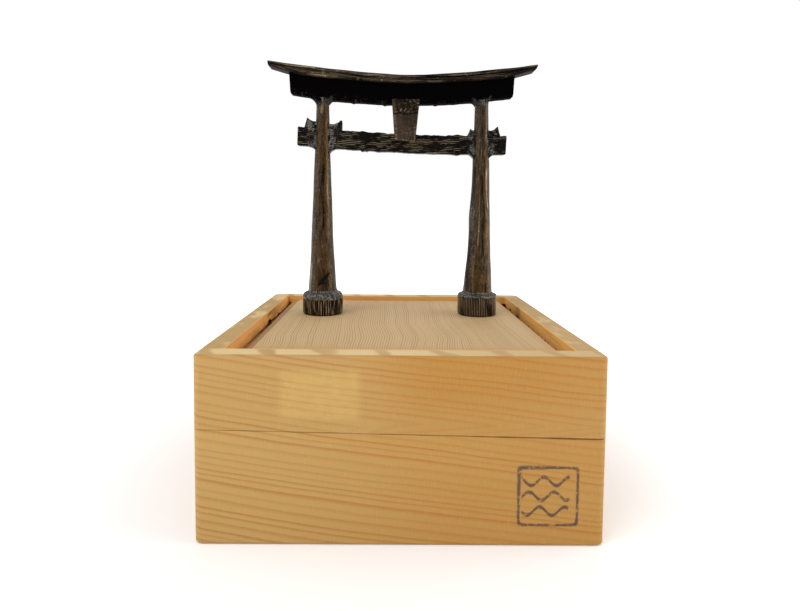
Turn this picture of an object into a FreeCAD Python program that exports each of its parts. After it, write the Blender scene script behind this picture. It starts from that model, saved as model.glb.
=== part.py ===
import FreeCAD, Part
import math
import os

# Model torii gate in patinated bronze, standing on the lid of its square wooden box.
# Millimetres. X runs across the gate, Y from front to back, Z up.
# Origin: centre of the box's underside, on the surface that the box rests on.
# Sizes of the gate are heights above the lid's board and distances from its pillars.

Vector = FreeCAD.Vector
ACROSS = Vector(0, 1, 0)
UP = Vector(0, 0, 1)

# ---- wooden box ----
box_width = 120.0
box_depth = 120.0
box_height = 56.0
wall_thickness = 7.6
floor_thickness = 6.0
seam_height = 33.1          # where lid and box part, at the middle of the front
seam_tilt_deg = 1.08        # the saw cut falls towards +X
corner_radius = 2.6         # worn upright corners
rim_radius = 0.9            # worn outer edges at the rim and the foot
lip_thickness = 2.6         # strips inside the box that locate the lid
lip_rise = 4.0              # how far the strips stand above the seam
lip_clearance = 0.3

# ---- board in the lid ----
board_recess = 1.8          # top of the board below the rim
board_thickness = 6.0
board_round = 1.4           # soft upper edges
board_corner_radius = 2.4
board_gap_back = 2.4        # gap along the left wall, at the back
board_gap_front = 4.0       # and at the front: the board was cut askew
board_gap_right = 2.7       # along the right wall

# ---- gate: place ----
gate_x = 1.0
gate_y = 17.0
pillar_spacing = 64.8

# ---- pillars ----
pillar_foot_radius = 6.1
pillar_foot_height = 9.0    # the foot is straight inside the collar
pillar_low_radius = 5.25    # concave taper through these rings
pillar_low_height = 20.0
pillar_waist_radius = 4.25
pillar_waist_height = 40.0
pillar_neck_radius = 3.4
pillar_neck_height = 64.0
pillar_top_radius = 2.5
right_pillar_lean_deg = 0.4  # towards +X at the top

# ---- collars round the pillar feet ----
socket_clearance = 0.1
collar_foot_round = 1.0
left_collar_wall = 2.2
left_collar_height = 9.1
left_collar_shoulder = 2.4  # height of the rounded shoulder
right_collar_wall = 2.0
right_collar_height = 9.0
right_collar_shoulder = 1.1
collar_ring = 0.35          # flat ring between shoulder and bore
shoulder_fullness = 0.75    # how far the shoulder bulges past a straight bevel

# ---- nuki: lower tie beam ----
nuki_left_stub = 10.4       # beyond the left pillar's axis
nuki_right_stub = 10.8
nuki_height = 7.6
nuki_thickness = 4.2
nuki_middle_height = 72.1   # centre of a line between the ends
nuki_tilt_deg = 2.1         # falls towards +X
nuki_bow = 1.15             # the bar sags between its ends

# ---- shimaki: beam under the cap ----
shimaki_left_reach = 13.7   # beyond the left pillar's axis
shimaki_right_reach = 13.6
shimaki_end_slant = 0.5     # the ends draw in towards the bottom
shimaki_thickness = 5.6
shimaki_low_height = 86.8
shimaki_low_shift = 2.0     # its lowest place, from the gate's middle
shimaki_rise = 3.9
shimaki_rise_length = 48.0
shimaki_curve_power = 2.0

# ---- kasagi: upswept cap ----
cap_left_reach = 22.1       # beyond the left pillar's axis
cap_right_reach = 22.6
cap_end_slant = 1.4         # the ends lean outwards at the top
cap_tip_slope = 12.0        # length of the bevel under each tip
cap_tip_rise = 2.3
cap_thickness = 8.0
cap_bevel = 1.2             # along the lower edges
cap_low_shift = 3.0         # its lowest place, from the gate's middle
cap_underside_height = 94.9
cap_underside_rise = 4.3
cap_underside_power = 1.6
cap_top_height = 98.3
cap_top_rise = 5.0
cap_top_power = 1.5
cap_rise_length = 56.0
cap_groove_depth = 0.5
cap_groove_height = 0.7
cap_groove_share = 0.55     # how far up the edge the groove runs

# ---- gakuzuka: name tablet ----
tablet_top_left = -4.1      # from the gate's middle
tablet_top_right = 7.3
tablet_bottom_left = -2.8
tablet_bottom_right = 5.6
tablet_lap_left = 2.8       # how far it laps down over the tie beam
tablet_lap_right = 3.3
tablet_front = 3.7          # front face ahead of the gate's middle plane
tablet_back = 1.2

# ---- kusabi: wedges on the tie beam ----
# foot and horn: distance from the pillar's axis; horn_rise and saddle_rise: above the tie beam;
# saddle: how far the level part next to the pillar reaches
wedge_thickness = 3.2
wedge_sizes = {
    "left_outer_wedge": {"foot": 7.6, "horn": 6.4, "horn_rise": 4.1, "saddle_rise": 2.5, "saddle": 3.6},
    "left_inner_wedge": {"foot": 7.9, "horn": 7.5, "horn_rise": 4.2, "saddle_rise": 2.6, "saddle": 4.6},
    "right_inner_wedge": {"foot": 5.0, "horn": 3.9, "horn_rise": 2.9, "saddle_rise": 2.6, "saddle": 3.4},
    "right_outer_wedge": {"foot": 8.3, "horn": 7.2, "horn_rise": 4.1, "saddle_rise": 2.2, "saddle": 4.6},
}

board_top = box_height - board_recess
half_width = box_width / 2
half_depth = box_depth / 2
inner_x = half_width - wall_thickness
inner_y = half_depth - wall_thickness
left_pillar_x = gate_x - pillar_spacing / 2
right_pillar_x = gate_x + pillar_spacing / 2
nuki_left = left_pillar_x - nuki_left_stub
nuki_right = right_pillar_x + nuki_right_stub
nuki_middle_x = (nuki_left + nuki_right) / 2
nuki_half = (nuki_right - nuki_left) / 2


# ---- shared shapes ----
def prism_along_y(outline, y_front, y_back):
    """Solid between two Y planes with an outline of (x, z) points."""
    points = [Vector(x, y_front, z) for x, z in outline]
    face = Part.Face(Part.makePolygon(points + points[:1]))
    return face.extrude(ACROSS * (y_back - y_front))


def block(x0, x1, y0, y1, z0, z1):
    """Upright block between two corners."""
    return Part.makeBox(x1 - x0, y1 - y0, z1 - z0, Vector(x0, y0, z0))


def near(a, b):
    """True where two lengths agree to a hundredth."""
    return abs(a - b) < 0.01


def largest(shape):
    """The solid of most volume in a cut shape."""
    return max(shape.Solids, key=lambda solid: solid.Volume)


# ---- box and lid ----
def seam_z(x):
    """Height of the sloping seam between box and lid at x."""
    return seam_height - x * math.tan(math.radians(seam_tilt_deg))


def below_seam(x0, x1, y0, y1, z0, rise=0):
    """Solid from z0 up to a plane that lies rise above the seam."""
    outline = [(x0, z0), (x1, z0), (x1, seam_z(x1) + rise), (x0, seam_z(x0) + rise)]
    return prism_along_y(outline, y0, y1)


def above_seam(x0, x1, y0, y1):
    """Solid from the seam up to the rim."""
    outline = [(x0, seam_z(x0)), (x1, seam_z(x1)), (x1, box_height), (x0, box_height)]
    return prism_along_y(outline, y0, y1)


def end_wall(side, below):
    """Front (side -1) or back (side +1) wall, over the whole width, corners rounded."""
    outer = side * half_depth
    inner = side * inner_y
    span = (-half_width, half_width, min(outer, inner), max(outer, inner))
    wall = below_seam(*span, 0) if below else above_seam(*span)
    level = 0 if below else box_height
    uprights = [e for e in wall.Edges
                if near(e.BoundBox.YMin, outer) and near(e.BoundBox.YMax, outer)
                and near(e.BoundBox.XLength, 0)]
    wall = wall.makeFillet(corner_radius, uprights)
    rim = [e for e in wall.Edges if near(e.BoundBox.ZMin, level) and near(e.BoundBox.ZMax, level)]
    outside = [e for e in rim if not (near(e.BoundBox.YMin, inner) and near(e.BoundBox.YMax, inner))]
    return wall.makeFillet(rim_radius, outside)


def side_wall(side, below):
    """Left (side -1) or right (side +1) wall, between the front and back walls."""
    outer = side * half_width
    inner = side * inner_x
    span = (min(outer, inner), max(outer, inner), -inner_y, inner_y)
    wall = below_seam(*span, 0) if below else above_seam(*span)
    level = 0 if below else box_height
    outside = [e for e in wall.Edges
               if near(e.BoundBox.XMin, outer) and near(e.BoundBox.XMax, outer)
               and near(e.BoundBox.ZMin, level) and near(e.BoundBox.ZMax, level)]
    return wall.makeFillet(rim_radius, outside)


def lip_strips():
    """Four strips inside the box that stand above the seam, set back from the lid there."""
    inside_x = inner_x - lip_thickness
    inside_y = inner_y - lip_thickness
    spans = {
        "front": (-inner_x, inner_x, -inner_y, -inside_y),
        "back": (-inner_x, inner_x, inside_y, inner_y),
        "left": (-inner_x, -inside_x, -inside_y, inside_y),
        "right": (inside_x, inner_x, -inside_y, inside_y),
    }
    free_x = inner_x - lip_clearance
    free_y = inner_y - lip_clearance
    inside_lid = block(-free_x, free_x, -free_y, free_y, 0, box_height)
    room = inside_lid.fuse(below_seam(-inner_x, inner_x, -inner_y, inner_y, 0))
    strips = {}
    for side, span in spans.items():
        strip = below_seam(*span, floor_thickness, lip_rise)
        strips["box_lip_" + side] = strip.common(room).removeSplitter()
    return strips


def lid_board():
    """Board set into the lid: tight at front and back, a gap at the right, askew along the left wall."""
    left_back = -inner_x + board_gap_back
    left_front = -inner_x + board_gap_front
    right = inner_x - board_gap_right
    z0 = board_top - board_thickness
    corners = [Vector(left_front, -inner_y, z0), Vector(right, -inner_y, z0),
               Vector(right, inner_y, z0), Vector(left_back, inner_y, z0)]
    board = Part.Face(Part.makePolygon(corners + corners[:1])).extrude(UP * board_thickness)
    uprights = [e for e in board.Edges if e.BoundBox.ZLength > board_thickness / 2]
    board = board.makeFillet(board_corner_radius, uprights)
    upper = [e for e in board.Edges if near(e.BoundBox.ZMin, board_top)]
    return board.makeFillet(board_round, upper)


def box_pieces():
    """Every piece of the box and its lid."""
    pieces = {
        "box_floor": block(-inner_x, inner_x, -inner_y, inner_y, 0, floor_thickness),
        "lid_board": lid_board(),
    }
    for prefix, below in (("box", True), ("lid", False)):
        pieces[prefix + "_front_wall"] = end_wall(-1, below)
        pieces[prefix + "_back_wall"] = end_wall(1, below)
        pieces[prefix + "_left_wall"] = side_wall(-1, below)
        pieces[prefix + "_right_wall"] = side_wall(1, below)
    pieces.update(lip_strips())
    return pieces


# ---- gate ----
def height(z):
    """Height in the box's frame of a height above the board."""
    return board_top + z


def revolve(edges, x):
    """Solid of revolution about the upright line through x in the gate's plane."""
    solid = Part.Face(Part.Wire(edges)).revolve(Vector(0, 0, 0), UP, 360)
    solid.translate(Vector(x, gate_y, 0))
    return solid


def pillar(x, lean_deg):
    """Pillar: straight foot, then a concave taper that ends inside the shimaki."""
    sole = Vector(pillar_foot_radius, 0, board_top - pillar_foot_radius)
    top_height = shimaki_low_height + shimaki_rise
    rings = [(pillar_foot_radius, pillar_foot_height), (pillar_low_radius, pillar_low_height),
             (pillar_waist_radius, pillar_waist_height), (pillar_neck_radius, pillar_neck_height),
             (pillar_top_radius, top_height)]
    points = [Vector(radius, 0, height(z)) for radius, z in rings]
    taper = Part.BSplineCurve()
    taper.interpolate(points)
    core_low = Vector(0, 0, sole.z)
    core_top = Vector(0, 0, height(top_height))
    edges = [Part.makeLine(core_low, sole), Part.makeLine(sole, points[0]), taper.toShape(),
             Part.makeLine(points[-1], core_top), Part.makeLine(core_top, core_low)]
    post = revolve(edges, x)
    post.rotate(Vector(x, gate_y, board_top), ACROSS, lean_deg)
    reach = 2 * pillar_foot_radius
    return post.cut(block(x - reach, x + reach, gate_y - reach, gate_y + reach, 0, board_top))


def collar(x, wall, top, shoulder):
    """Thick ring round a pillar's foot with a rounded shoulder."""
    bore = pillar_foot_radius + socket_clearance
    radius = pillar_foot_radius + wall
    z1 = height(top)
    in_low = Vector(bore, 0, board_top)
    in_top = Vector(bore, 0, z1)
    foot = Vector(radius - collar_foot_round, 0, board_top)
    side_low = Vector(radius, 0, board_top + collar_foot_round)
    side_top = Vector(radius, 0, z1 - shoulder)
    ring = Vector(bore + collar_ring, 0, z1)
    bulge = Vector(ring.x + (radius - ring.x) * shoulder_fullness, 0, z1 - shoulder * (1 - shoulder_fullness))
    edges = [Part.makeLine(in_low, foot), Part.makeLine(foot, side_low), Part.makeLine(side_low, side_top),
             Part.Arc(side_top, bulge, ring).toShape(), Part.makeLine(ring, in_top),
             Part.makeLine(in_top, in_low)]
    return revolve(edges, x)


def upswept(x, shift, low, rise, length, power):
    """Height of an upswept edge: low at shift from the gate's middle, rising by a power law."""
    return height(low + rise * (abs(x - gate_x - shift) / length) ** power)


def cap_underside(x):
    """Height of the cap's underside at x."""
    return upswept(x, cap_low_shift, cap_underside_height, cap_underside_rise, cap_rise_length,
                   cap_underside_power)


def cap_top(x):
    """Height of the cap's upper face at x."""
    return upswept(x, cap_low_shift, cap_top_height, cap_top_rise, cap_rise_length, cap_top_power)


def shimaki_underside(x):
    """Height of the shimaki's underside at x."""
    return upswept(x, shimaki_low_shift, shimaki_low_height, shimaki_rise, shimaki_rise_length,
                   shimaki_curve_power)


def upswept_edge(x0, x1, law, y):
    """Smooth edge through seven stations of a law of height, with its two end points."""
    stations = 7
    places = [x0 + (x1 - x0) * i / (stations - 1) for i in range(stations)]
    points = [Vector(x, y, law(x)) for x in places]
    curve = Part.BSplineCurve()
    curve.interpolate(points)
    return curve.toShape(), points[0], points[-1]


def curved_beam(lower, upper, lower_law, upper_law, thickness):
    """Beam between two upswept edges, given as (x0, x1) pairs, centred on the gate's plane."""
    y = gate_y - thickness / 2
    under, under_left, under_right = upswept_edge(lower[0], lower[1], lower_law, y)
    over, over_left, over_right = upswept_edge(upper[0], upper[1], upper_law, y)
    right_end = Part.makeLine(under_right, over_right)
    left_end = Part.makeLine(over_left, under_left)
    return Part.Face(Part.Wire([under, right_end, over, left_end])).extrude(ACROSS * thickness)


def cap_bar():
    """Upswept bar of the cap, bevelled along its lower edges and under its tips."""
    left = left_pillar_x - cap_left_reach
    right = right_pillar_x + cap_right_reach
    low_left = left + cap_end_slant
    low_right = right - cap_end_slant
    bar = curved_beam((low_left, low_right), (left, right), cap_underside, cap_top, cap_thickness)
    middle = height((cap_underside_height + cap_top_height) / 2)
    long_edges = [e for e in bar.Edges if e.BoundBox.XLength > pillar_spacing and e.BoundBox.ZMin < middle]
    bar = bar.makeChamfer(cap_bevel, long_edges)
    for tip, inwards in ((low_left, 1), (low_right, -1)):
        z = cap_underside(tip)
        start = tip + inwards * cap_tip_slope
        low = z - cap_tip_rise - cap_underside_rise
        outline = [(start, cap_underside(start)), (tip - inwards, z + cap_tip_rise), (tip - inwards, low),
                   (start, low)]
        bar = bar.cut(prism_along_y(outline, gate_y - cap_thickness, gate_y + cap_thickness))
    return largest(bar)


def kasagi(bar):
    """Cap: the bar with a groove along its front and back."""

    def groove_low(x):
        return cap_underside(x) + (cap_top(x) - cap_underside(x)) * cap_groove_share

    def groove_high(x):
        return groove_low(x) + cap_groove_height

    reach = (left_pillar_x - 2 * cap_left_reach, right_pillar_x + 2 * cap_right_reach)
    slot = curved_beam(reach, reach, groove_low, groove_high, 2 * cap_thickness)
    half = cap_thickness / 2 - cap_groove_depth
    core = block(2 * reach[0], 2 * reach[1], gate_y - half, gate_y + half, 0, height(2 * cap_top_height))
    return largest(bar.cut(slot.cut(core)))


def shimaki(bar):
    """Beam under the cap, its upper face against the cap's underside."""

    def inside_cap(x):
        return (cap_underside(x) + cap_top(x)) / 2

    left = left_pillar_x - shimaki_left_reach
    right = right_pillar_x + shimaki_right_reach
    lower = (left + shimaki_end_slant, right - shimaki_end_slant)
    beam = curved_beam(lower, (left, right), shimaki_underside, inside_cap, shimaki_thickness)
    return largest(beam.cut(bar))


def nuki_top(x):
    """Height above the board of the tie beam's upper edge at x."""
    share = (x - nuki_middle_x) / nuki_half
    fall = (x - nuki_middle_x) * math.tan(math.radians(nuki_tilt_deg))
    return nuki_middle_height + nuki_height / 2 - fall - nuki_bow * (1 - share * share)


def nuki():
    """Lower tie beam: a bar that sags a little and falls towards +X."""
    low = -nuki_height / 2
    high = nuki_height / 2
    front = -nuki_thickness / 2

    def sagging(z):
        ends = [Vector(-nuki_half, front, z), Vector(nuki_half, front, z)]
        return Part.Arc(ends[0], Vector(0, front, z - nuki_bow), ends[1]).toShape()

    right_end = Part.makeLine(Vector(nuki_half, front, low), Vector(nuki_half, front, high))
    left_end = Part.makeLine(Vector(-nuki_half, front, high), Vector(-nuki_half, front, low))
    wire = Part.Wire([sagging(low), right_end, sagging(high), left_end])
    bar = Part.Face(wire).extrude(ACROSS * nuki_thickness)
    bar.rotate(Vector(0, 0, 0), ACROSS, nuki_tilt_deg)
    bar.translate(Vector(nuki_middle_x, gate_y, height(nuki_middle_height)))
    return bar


def wedge(pillar_x, outwards, size):
    """Horned wedge between the tie beam's top and a pillar, before it is cut to them."""
    foot = pillar_x + outwards * size["foot"]
    horn = pillar_x + outwards * size["horn"]
    saddle = pillar_x + outwards * size["saddle"]
    top = nuki_top(foot)
    low = top - nuki_height / 2
    outline = [(foot, height(low)), (pillar_x, height(low)), (pillar_x, height(top + size["saddle_rise"])),
               (saddle, height(top + size["saddle_rise"])), (horn, height(top + size["horn_rise"])),
               (foot, height(top))]
    return prism_along_y(outline, gate_y - wedge_thickness / 2, gate_y + wedge_thickness / 2)


def tablet():
    """Name tablet: tapered plate from the shimaki down over the tie beam's front."""
    top = height(shimaki_low_height + shimaki_rise / 2)
    bottom_left = gate_x + tablet_bottom_left
    bottom_right = gate_x + tablet_bottom_right
    outline = [(bottom_left, height(nuki_top(bottom_left) - tablet_lap_left)),
               (bottom_right, height(nuki_top(bottom_right) - tablet_lap_right)),
               (gate_x + tablet_top_right, top), (gate_x + tablet_top_left, top)]
    return prism_along_y(outline, gate_y - tablet_front, gate_y + tablet_back)


def gate_pieces():
    """Every piece of the gate, cut where one meets another."""
    bar = cap_bar()
    beam = shimaki(bar)
    tie = nuki()
    left = pillar(left_pillar_x, 0)
    right = pillar(right_pillar_x, right_pillar_lean_deg)
    pieces = {
        "kasagi_cap": kasagi(bar),
        "shimaki_beam": beam,
        "nuki_tie_beam": tie,
        "left_pillar": largest(left.cut(beam).cut(tie)),
        "right_pillar": largest(right.cut(beam).cut(tie)),
        "left_collar": collar(left_pillar_x, left_collar_wall, left_collar_height, left_collar_shoulder),
        "right_collar": collar(right_pillar_x, right_collar_wall, right_collar_height, right_collar_shoulder),
        "name_tablet": largest(tablet().cut(tie).cut(beam)),
    }
    places = {
        "left_outer_wedge": (left, left_pillar_x, -1),
        "left_inner_wedge": (left, left_pillar_x, 1),
        "right_inner_wedge": (right, right_pillar_x, -1),
        "right_outer_wedge": (right, right_pillar_x, 1),
    }
    for name, (post, pillar_x, outwards) in places.items():
        loose = wedge(pillar_x, outwards, wedge_sizes[name]).cut(tie).cut(post)
        pieces[name] = max(loose.Solids, key=lambda solid: solid.CenterOfMass.z)
    return pieces


os.makedirs("parts", exist_ok=True)
everything = box_pieces()
everything.update(gate_pieces())
for node, shape in everything.items():
    solid = shape.Solids[0]
    solid.exportStep(os.path.join("parts", node + ".step"))
    print(node, len(shape.Solids), "valid" if solid.isValid() else "NOT VALID", round(solid.Volume, 2))
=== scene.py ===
import math

import bpy
import numpy as np
from mathutils import Matrix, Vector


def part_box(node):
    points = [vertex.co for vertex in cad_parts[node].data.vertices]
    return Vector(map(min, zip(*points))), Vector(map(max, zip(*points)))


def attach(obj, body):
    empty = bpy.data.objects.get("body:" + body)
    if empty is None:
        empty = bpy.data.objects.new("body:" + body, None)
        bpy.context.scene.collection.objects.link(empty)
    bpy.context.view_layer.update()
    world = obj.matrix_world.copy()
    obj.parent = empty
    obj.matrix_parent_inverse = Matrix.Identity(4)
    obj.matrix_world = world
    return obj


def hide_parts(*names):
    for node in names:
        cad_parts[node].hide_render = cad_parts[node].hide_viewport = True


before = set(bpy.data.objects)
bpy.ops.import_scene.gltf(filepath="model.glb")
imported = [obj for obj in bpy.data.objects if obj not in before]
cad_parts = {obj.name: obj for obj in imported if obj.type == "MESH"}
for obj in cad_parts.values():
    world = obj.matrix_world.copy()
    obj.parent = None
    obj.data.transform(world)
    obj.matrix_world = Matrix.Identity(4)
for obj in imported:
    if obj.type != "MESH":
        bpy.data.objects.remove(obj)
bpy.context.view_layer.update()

bl_info = {
    "name": "Torii gate on its wooden box",
    "version": (1, 0, 0),
    "blender": (4, 5, 0),
    "location": "3D View > Sidebar > Torii",
    "description": "Dresses the gate and its box: cast bronze, pine walls, set-in board and a plain stage",
    "category": "Add Mesh",
}

# Metres, in the frame of the packed model: X across the gate, Y from front to back, Z up.
# Materials work in millimetres of the same frame.
MM = 0.001
LID_LOW, LID_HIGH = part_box("lid_right_wall")
RIM = LID_HIGH.z
HALF_WIDTH = LID_HIGH.x
INNER_X = LID_LOW.x
INNER_Y = LID_HIGH.y
BOARD_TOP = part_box("lid_board")[1].z
SEAM_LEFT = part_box("box_left_wall")[1].z
SEAM_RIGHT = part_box("lid_right_wall")[0].z
SEAM_FALL = (SEAM_LEFT - SEAM_RIGHT) / (2 * HALF_WIDTH)
SEAM_MIDDLE = (SEAM_LEFT + SEAM_RIGHT) / 2
GATE_Y = (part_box("nuki_tie_beam")[0].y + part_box("nuki_tie_beam")[1].y) / 2
PILLARS = {side: (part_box(side + "_collar")[0].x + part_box(side + "_collar")[1].x) / 2
           for side in ("left", "right")}
# Where the pillars meet the beams: they lean and bend a little.
NECKS = {"left": PILLARS["left"] + 0.2 * MM, "right": PILLARS["right"] + 0.6 * MM}


def paint(red, green, blue):
    """Linear colour, with alpha, of a display colour from 0 to 255."""
    share = np.array([red, green, blue]) / 255
    linear = np.where(share < 0.04045, share / 12.92, ((share + 0.055) / 1.055) ** 2.4)
    return tuple(float(value) for value in linear) + (1.0,)


# ---------------------------------------------------------------- sizes and colours a user may change
def length(name, description, default):
    """Property that holds a length in metres."""
    return bpy.props.FloatProperty(name=name, description=description, default=default, unit="LENGTH",
                                   precision=5)


def angle(name, description, degrees):
    """Property that holds an angle, given in degrees."""
    return bpy.props.FloatProperty(name=name, description=description, default=math.radians(degrees),
                                   subtype="ANGLE")


def share(name, description, default):
    """Property that holds a share from 0 to 1."""
    return bpy.props.FloatProperty(name=name, description=description, default=default, subtype="FACTOR",
                                   min=0.0, max=1.0)


def number(name, description, default):
    """Property that holds a whole number."""
    return bpy.props.IntProperty(name=name, description=description, default=default)


def colour(name, description, red, green, blue):
    """Property that holds a colour, given as a display colour from 0 to 255."""
    return bpy.props.FloatVectorProperty(name=name, description=description, subtype="COLOR", size=4,
                                         min=0.0, max=1.0, default=paint(red, green, blue))


class StageLooks(bpy.types.PropertyGroup):
    """Floor, lights and camera."""
    floor: colour("Floor", "Colour of the floor", 248, 248, 248)
    glow: share("Glow", "How much light the floor gives off far from the box", 0.75)
    floor_size: length("Floor size", "Side of the square floor", 6.0)
    lens: bpy.props.FloatProperty(name="Lens", description="Focal length", default=25.307, unit="CAMERA")
    camera_place: bpy.props.FloatVectorProperty(name="Camera", description="Place of the camera",
                                                default=(-0.00356, -0.21826, 0.09733), subtype="TRANSLATION")
    pitch: angle("Pitch", "How far the camera looks down", 3.508)
    yaw: angle("Yaw", "How far the camera turns to the right", 0.3)
    roll: angle("Roll", "How far the camera leans", 0.466)


class WoodLooks(bpy.types.PropertyGroup):
    """Pine of the box and of the board in its lid."""
    pale: colour("Early wood", "Pale part of a growth ring", 195, 155, 90)
    late: colour("Late wood", "Dark line of a growth ring", 174, 116, 56)
    orange: colour("Resin", "Warm tint in the wood", 184, 131, 52)
    amber: colour("Resin line", "Dark line of a growth ring where the wood holds resin", 188, 110, 24)
    rim: colour("Rim", "Sawn edge on top of the front wall", 224, 197, 144)
    rim_patch: colour("Rim patch", "Tan patches across the rim", 187, 152, 99)
    rim_grey: colour("Grey rim", "Weathered rim of the side walls", 190, 156, 102)
    # Painted light: the two inner-face colours are the orange of the inner wood, painted lighter than it is
    # to make up for the shade on the inner faces.
    inside: colour("Inner face", "Inner faces above the board", 240, 174, 96)
    inside_right: colour("Right inner face", "Inner face of the right wall", 238, 182, 100)
    board: colour("Board", "Pale wood of the board", 205, 176, 130)
    board_line: colour("Board lines", "Growth lines of the board", 166, 132, 92)
    # The board-front colour is a random pink tint of the wood, and also painted warm shade along the board's
    # front and right edges.
    board_pink: colour("Board front", "Warm tint along the board's front", 198, 146, 98)
    # Brown is the wood's own colour in flecks and on the ledge, and painted shade on the board's rounded
    # left edge and in the soft shadows on the inner faces.
    brown: colour("Board side", "Shaded round edge of the board", 152, 108, 58)
    dark: colour("Crevice", "Dirt and shadow in cracks", 50, 28, 12)
    seam: colour("Seam", "Shadow and dirt where lid and box meet", 92, 50, 10)
    square: colour("Pale square", "Patch of the lid that kept its colour", 214, 178, 106)
    ink: colour("Ink", "Worn ink of the square mark", 74, 60, 58)
    ring_spacing: length("Ring spacing", "Distance between growth rings on the walls", 2.2 * MM)
    board_spacing: length("Board line spacing", "Distance between lines on the board", 0.86 * MM)
    mark_half: length("Mark", "Half the side of the ink mark", 8.55 * MM)
    mark_x: length("Mark place", "Middle of the ink mark across the box", 43.0 * MM)
    mark_z: length("Mark height", "Middle of the ink mark above the floor", 15.0 * MM)


class LedgeLooks(bpy.types.PropertyGroup):
    """Ledge and torn fibres between the board and the left wall."""
    drop: length("Ledge depth", "How far the ledge lies below the rim", 5.0 * MM)
    torn_drop: length("Torn edge depth", "How far the wall's inner face reaches below the rim", 4.0 * MM)
    torn_play: length("Ragged play", "How much the torn edge wanders", 0.75 * MM)
    proud: length("Torn thickness", "Thickness of the torn fibres", 0.45 * MM)


class CollarLooks(bpy.types.PropertyGroup):
    """Ribbed collars round the pillar feet."""
    left_ribs: number("Left ribs", "Ribs round the left collar", 57)
    right_ribs: number("Right ribs", "Ribs round the right collar", 72)
    rib_depth: length("Rib depth", "Depth of the furrows between ribs", 0.34 * MM)
    fillet: length("Fillet", "Solder that climbs from the collar to the pillar", 0.9 * MM)


class PillarLooks(bpy.types.PropertyGroup):
    """Tapered pillars."""
    left_bend: length("Left bend", "How far the left pillar bends towards +X", -0.3 * MM)
    right_bend: length("Right bend", "How far the right pillar bends towards +X", 0.28 * MM)
    right_lean: angle("Right lean", "How far the right pillar leans to +X", 0.4)
    hammer: length("Unevenness", "Height of the cast surface's low swells", 0.1 * MM)


class BeamLooks(bpy.types.PropertyGroup):
    """Tie beam, beam under the cap, and cap."""
    ridges: number("Ridges", "Lengthwise ridges on the tie beam's faces", 10)
    ridge_depth: length("Ridge depth", "Height of the tie beam's ridges", 0.2 * MM)
    groove_depth: length("Groove depth", "Depth of the dark groove along the cap", 0.55 * MM)
    end_roll: length("End rounding", "Rounding at the ends of the beams", 0.7 * MM)


class TabletLooks(bpy.types.PropertyGroup):
    """Name tablet between the beams."""
    groove_share: share("Groove place", "Height of the dark groove on the tablet", 0.655)
    groove_depth: length("Groove depth", "Depth of the groove", 0.4 * MM)


class BronzeLooks(bpy.types.PropertyGroup):
    """Patina of the cast bronze."""
    dark: colour("Furrows", "Black patina in furrows", 11, 8, 6)
    brown: colour("Brown patina", "Patina of the pillars", 88, 64, 37)
    olive: colour("Olive patina", "Cooler patina of the pillars", 70, 61, 46)
    # The rubbed colour is worn bronze, and also painted highlight: it colours the light streaks on the
    # pillars and the glint on the collars' shoulders.
    rubbed: colour("Rubbed bronze", "High places where the patina is rubbed thin", 150, 134, 106)
    iron: colour("Solder shade", "Dark parts of the solder", 46, 45, 43)
    solder: colour("Solder", "Light parts of the solder", 138, 137, 132)
    # Specks are light solder grains and painted glints of small highlights.
    spark: colour("Specks", "Small bright specks", 214, 206, 188)
    cap: colour("Cap", "Patina of the cap", 72, 59, 46)
    beam: colour("Beam", "Patina of the tie beam", 37, 30, 25)
    soot: colour("Soot", "Black patina of the beam under the cap", 3, 2, 3)
    tablet: colour("Tablet", "Patina of the tablet", 56, 43, 30)


GROUPS = {"torii_stage": StageLooks, "torii_wood": WoodLooks, "torii_ledge": LedgeLooks,
          "torii_collars": CollarLooks, "torii_pillars": PillarLooks, "torii_beams": BeamLooks,
          "torii_tablet": TabletLooks, "torii_bronze": BronzeLooks}


# ---------------------------------------------------------------- shader nodes written as sums
def math_method(operation, swapped=False):
    """Method of a wire that adds one Math node; swapped puts the wire second."""
    def method(self, other=0.0):
        first, second = (other, self) if swapped else (self, other)
        return self.nodes.add("ShaderNodeMath", {"operation": operation}, {0: first, 1: second})
    return method


class Wire:
    """An output socket that takes part in sums: every operator adds one Math node."""
    __add__ = math_method("ADD")
    __radd__ = math_method("ADD", swapped=True)
    __sub__ = math_method("SUBTRACT")
    __rsub__ = math_method("SUBTRACT", swapped=True)
    __mul__ = math_method("MULTIPLY")
    __truediv__ = math_method("DIVIDE")
    __pow__ = math_method("POWER")
    __abs__ = math_method("ABSOLUTE")
    high = math_method("MAXIMUM")
    low = math_method("MINIMUM")
    fraction = math_method("FRACT")
    floor = math_method("FLOOR")
    sine = math_method("SINE")

    def __init__(self, nodes, socket):
        self.nodes = nodes
        self.socket = socket

    def rise(self, start, stop):
        """0 below start, 1 above stop, smooth between."""
        settings = {"interpolation_type": "SMOOTHSTEP", "clamp": True}
        sockets = {"Value": self, "From Min": start, "From Max": stop, "To Min": 0.0, "To Max": 1.0}
        return self.nodes.add("ShaderNodeMapRange", settings, sockets)

    def band(self, start, stop, soft):
        """1 between start and stop, 0 outside, smooth over the soft width."""
        return self.rise(start - soft, start + soft) * (1 - self.rise(stop - soft, stop + soft))


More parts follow.
